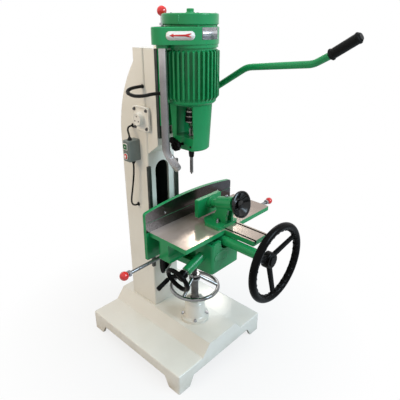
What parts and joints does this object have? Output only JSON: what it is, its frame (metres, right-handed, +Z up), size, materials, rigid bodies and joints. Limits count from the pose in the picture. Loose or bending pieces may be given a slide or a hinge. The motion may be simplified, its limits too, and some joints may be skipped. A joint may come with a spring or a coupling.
{
  "type": "hollow chisel mortiser",
  "caption": "Floor-standing hollow chisel mortiser: cast base and bent column, finned motor head with chisel and air pipe, and a knee, saddle and table with fence and vise.",
  "frame": {"origin": "centre of the base's footprint, on the floor", "axes": "+X to the operator's right, +Y from the operator to the column, +Z up"},
  "size_m": [1.022, 1.0362, 1.5505],
  "materials": {
    "cream_paint": "semi-gloss",
    "green_paint": "semi-gloss",
    "bearing_paint": "semi-gloss",
    "table_iron": "ground",
    "fence_iron": "ground",
    "way_iron": "scraped",
    "bright_steel": "turned",
    "gear_steel": "oiled",
    "tool_steel": "ground",
    "lamination": "stacked sheets",
    "fan_alloy": "cast",
    "galvanised": "galvanised",
    "ring_alloy": "satin",
    "black_plastic": "moulded",
    "grip_rubber": "satin",
    "red_plastic": "moulded",
    "box_plastic": "fine grain",
    "start_plastic": "moulded",
    "stop_plastic": "moulded",
    "gland_plastic": "moulded",
    "cable_rubber": "satin",
    "hose_rubber": "ribbed"
  },
  "bodies": {
    "frame": {"base": "cream_paint", "column": "cream_paint", "column_ways": "way_iron", "head_ways": "way_iron", "pedestal": "cream_paint", "thrust_sleeve": "bright_steel", "bearing_plate": "bearing_paint", "bearing_flange": "green_paint", "switch_box": "box_plastic", "cable_glands": "gland_plastic", "switch_cable_upper": "cable_rubber", "switch_cable_lower": "cable_rubber", "motor_hose": "hose_rubber"},
    "start_button": {"start_button": "start_plastic"},
    "stop_button": {"stop_button": "stop_plastic"},
    "head": {"head_slide": "green_paint", "head_rack": "gear_steel", "motor_housing": "green_paint", "motor_stator": "lamination", "spindle_bearings": "bright_steel", "scroll_ring": "green_paint", "fan_cover": "green_paint", "cover_knob": "green_paint", "blower_pipe": "galvanised", "chuck_housing": "green_paint", "chisel_bush": "bright_steel", "hollow_chisel": "tool_steel", "depth_stop_rod": "bright_steel", "depth_stop_ball": "red_plastic"},
    "spindle": {"spindle": "bright_steel", "blower_fan": "fan_alloy", "drill_chuck": "tool_steel", "auger_bit": "tool_steel"},
    "chisel_clamp": {"chisel_clamp_knob": "black_plastic"},
    "rear_clamp": {"rear_clamp_knob": "black_plastic"},
    "feed": {"feed_shaft": "bright_steel", "sector_gear": "gear_steel", "feed_lever": "green_paint", "lever_grip": "grip_rubber"},
    "elevating": {"elevating_wheel": "ring_alloy"},
    "knee": {"knee": "green_paint", "knee_keepers": "green_paint", "elevating_screw": "bright_steel"},
    "knee_clamp": {"knee_clamp_lever": "black_plastic"},
    "cross": {"cross_shaft": "bright_steel", "cross_handwheel": "black_plastic"},
    "crank": {"crank_handle": "black_plastic"},
    "saddle": {"saddle": "green_paint", "cross_rack": "gear_steel", "stop_rod": "bright_steel", "stop_balls": "red_plastic"},
    "steering": {"steering_shaft": "bright_steel", "steering_wheel": "black_plastic"},
    "table": {"table": "table_iron", "table_rack": "gear_steel", "fence": "fence_iron", "vise_bracket": "green_paint"},
    "jaw": {"vise_jaw": "green_paint"},
    "vise_wheel": {"vise_screw": "bright_steel", "vise_handwheel": "black_plastic"}
  },
  "joints": [
    {"name": "head_slide", "type": "slide", "parent": "frame", "child": "head", "axis": [0, 0, -1], "range_m": [0, 0.07], "stiffness_N_per_m": 1500, "springref_m": -0.5, "deforming": ["motor_hose"]},
    {"name": "feed_lever", "type": "hinge", "parent": "frame", "child": "feed", "pos_m": [0, 0.0885, 1.12], "axis": [1, 0, 0], "range_deg": [0, 43.61]},
    {"name": "spindle_spin", "type": "hinge", "parent": "head", "child": "spindle", "pos_m": [0, -0.123, 1.3], "axis": [0, 0, 1], "continuous": true},
    {"name": "chisel_clamp_turn", "type": "hinge", "parent": "head", "child": "chisel_clamp", "pos_m": [-0.085, -0.123, 1.046], "axis": [-1, 0, 0], "range_deg": [-180, 180]},
    {"name": "rear_clamp_turn", "type": "hinge", "parent": "head", "child": "rear_clamp", "pos_m": [-0.065, -0.078, 1.054], "axis": [-1, 0, 0], "range_deg": [-180, 180]},
    {"name": "elevating_turn", "type": "hinge", "parent": "frame", "child": "elevating", "pos_m": [0, -0.137, 0.369], "axis": [0, 0, 1], "range_deg": [-4501, 901]},
    {"name": "knee_slide", "type": "slide", "parent": "frame", "child": "knee", "axis": [0, 0, 1], "range_m": [-0.1, 0.02]},
    {"name": "knee_clamp_turn", "type": "hinge", "parent": "knee", "child": "knee_clamp", "pos_m": [-0.118, -0.06, 0.538], "axis": [-1, 0, 0], "range_deg": [-50, 50]},
    {"name": "saddle_slide", "type": "slide", "parent": "knee", "child": "saddle", "axis": [0, 1, 0], "range_m": [-0.01, 0.03]},
    {"name": "cross_turn", "type": "hinge", "parent": "knee", "child": "cross", "pos_m": [-0.226, -0.262, 0.545], "axis": [-0.9397, 0, -0.342], "range_deg": [-40.95, 122.8]},
    {"name": "crank_spin", "type": "hinge", "parent": "cross", "child": "crank", "pos_m": [-0.22131, -0.21081, 0.53211], "axis": [-0.9397, 0, -0.342], "continuous": true},
    {"name": "steering_turn", "type": "hinge", "parent": "saddle", "child": "steering", "pos_m": [0, -0.55, 0.6546], "axis": [0, 1, 0], "range_deg": [-537.15, 358.1]},
    {"name": "table_slide", "type": "slide", "parent": "saddle", "child": "table", "axis": [1, 0, 0], "range_m": [-0.1501, 0.1001]},
    {"name": "vise_turn", "type": "hinge", "parent": "table", "child": "vise_wheel", "pos_m": [0.053, -0.275, 0.795], "axis": [0, 0.9703, -0.2419], "range_deg": [-1201, 2401]},
    {"name": "jaw_slide", "type": "slide", "parent": "table", "child": "jaw", "axis": [0, 0.9703, -0.2419], "range_m": [-0.02, 0.04]},
    {"name": "start_press", "type": "slide", "parent": "frame", "child": "start_button", "axis": [1, 0, 0], "range_m": [0, 0.004], "stiffness_N_per_m": 400, "springref_m": -0.004},
    {"name": "stop_press", "type": "slide", "parent": "frame", "child": "stop_button", "axis": [1, 0, 0], "range_m": [0, 0.004], "stiffness_N_per_m": 400, "springref_m": -0.004}
  ],
  "couplings": [
    {"joint": "feed_lever", "follows": "head_slide", "rad_per_m": 10.87},
    {"joint": "elevating_turn", "follows": "knee_slide", "rad_per_m": 785.4},
    {"joint": "cross_turn", "follows": "saddle_slide", "rad_per_m": 71.429},
    {"joint": "table_slide", "follows": "steering_turn", "m_per_rad": 0.016},
    {"joint": "vise_turn", "follows": "jaw_slide", "rad_per_m": 1047.2}
  ]
}
